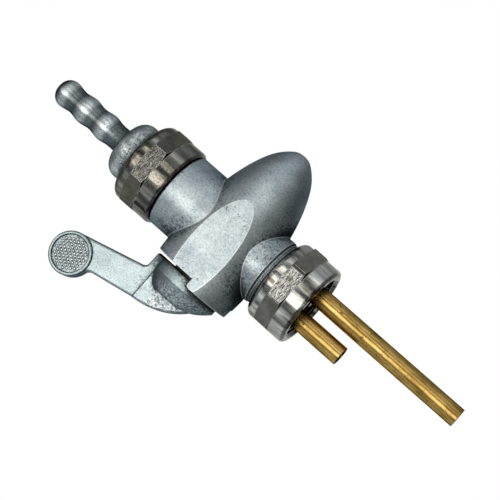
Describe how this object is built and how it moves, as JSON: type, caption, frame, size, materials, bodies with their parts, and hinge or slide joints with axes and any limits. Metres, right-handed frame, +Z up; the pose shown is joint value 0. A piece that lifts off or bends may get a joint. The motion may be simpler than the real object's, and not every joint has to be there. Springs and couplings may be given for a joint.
{
  "type": "motorcycle fuel tap",
  "caption": "Egg-shaped fuel tap with a tank union nut and standpipes above, a union nut and ribbed hose nipple below, and a flat lever on a cork plug.",
  "frame": {"origin": "centre of the face that seals on the tank, which is the upper face of the tank seal washer", "axes": "+Z up the standpipes into the tank, +Y towards the nose of the egg-shaped body, the lever on the -Y side"},
  "size_m": [0.0246, 0.061, 0.1271],
  "materials": {
    "die_cast_zinc": "satin, as cast and lightly polished, spotted with age",
    "lever_zinc": "satin, polished by use, dark in the corners",
    "nipple_zinc": "dull, darkened by fuel",
    "nickel_plate": "worn nickel plate with brushed flats",
    "pipe_brass": "drawn tube, tarnished",
    "brass": "turned",
    "red_fibre": "vulcanised fibre, matt",
    "cork": "ground cork, oiled",
    "spring_steel": "blued spring steel",
    "plated_steel": "zinc-plated steel",
    "gauze": "woven wire"
  },
  "bodies": {
    "root": {"tap_body": "die_cast_zinc", "pipe_carrier": "brass", "main_standpipe": "pipe_brass", "reserve_standpipe": "pipe_brass", "tank_seal_washer": "red_fibre", "outlet_union_nut": "nickel_plate", "hose_nipple": "nipple_zinc", "outlet_seal_washer": "red_fibre", "strainer_frame": "brass", "strainer_gauze": "gauze", "keeper_screw": "plated_steel", "keeper_washer": "red_fibre"},
    "lever_and_plug": {"lever": "lever_zinc", "plug_spindle": "nickel_plate", "cork_sleeve": "cork", "inner_cork_washer": "brass", "outer_cork_washer": "brass", "cork_spring_washer": "spring_steel", "cork_clamp_screw": "brass"},
    "tank_nut": {"tank_union_nut": "nickel_plate"}
  },
  "joints": [
    {"name": "lever_turn", "type": "hinge", "parent": "root", "child": "lever_and_plug", "pos_m": [0, 0, -0.0191], "axis": [0, -1, 0], "range_deg": [0, 180]},
    {"name": "tank_nut_spin", "type": "hinge", "parent": "root", "child": "tank_nut", "pos_m": [0, 0, 0], "axis": [0, 0, 1], "continuous": true}
  ]
}
